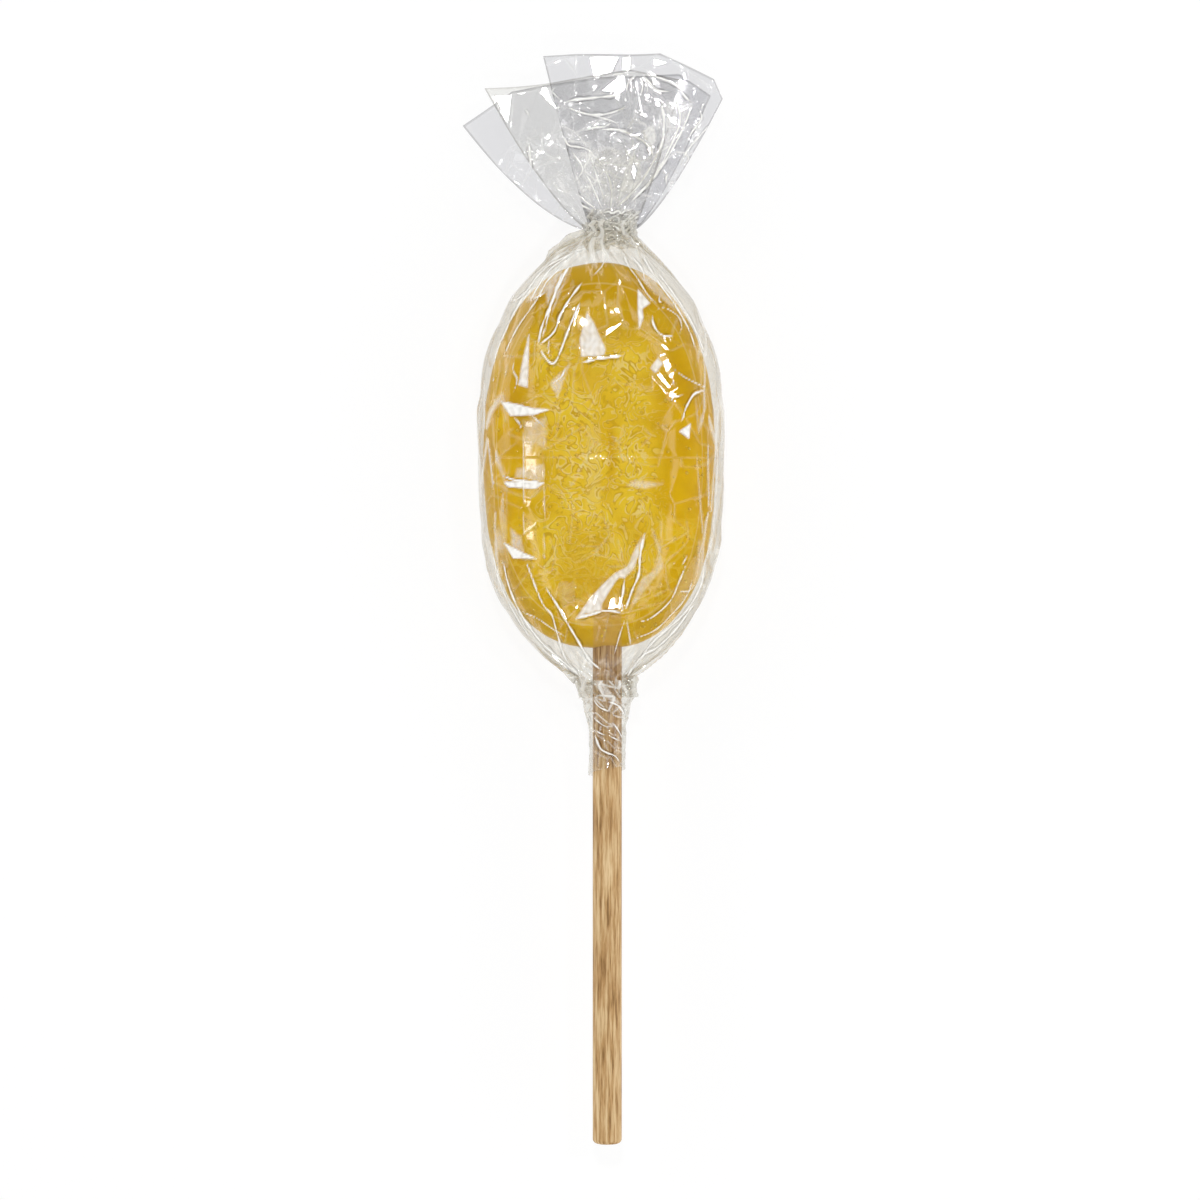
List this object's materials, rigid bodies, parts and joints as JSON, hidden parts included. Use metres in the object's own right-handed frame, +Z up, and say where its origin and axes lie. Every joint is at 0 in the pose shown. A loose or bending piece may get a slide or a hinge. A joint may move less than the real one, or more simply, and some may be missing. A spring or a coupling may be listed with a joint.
{
  "type": "lollipop",
  "caption": "Wrapped lollipop: an oval boiled-sugar candy on a round wooden stick, in clear film twisted above it and gathered round the stick.",
  "frame": {"origin": "the middle of the small flat spot that the wrapped candy rests on, straight below the candy's centre", "axes": "+Z is up, away from the surface it lies on and out of the side that shows. +Y runs along the lollipop, from the stick's free end to the fan of film. +X is to the right as seen from above with the fan away from the viewer."},
  "size_m": [0.0405, 0.1688, 0.0167],
  "materials": {
    "boiled_sugar": "translucent yellow boiled sugar, glossy, with faint moulded wrinkles and small bubbles",
    "birch_wood": "pale turned birch, unvarnished, fine grain along its length",
    "clear_film": "thin clear glossy wrapping film, creased and pleated"
  },
  "bodies": {
    "root": {"candy": "boiled_sugar", "stick": "birch_wood", "wrapper": "clear_film"}
  },
  "joints": []
}
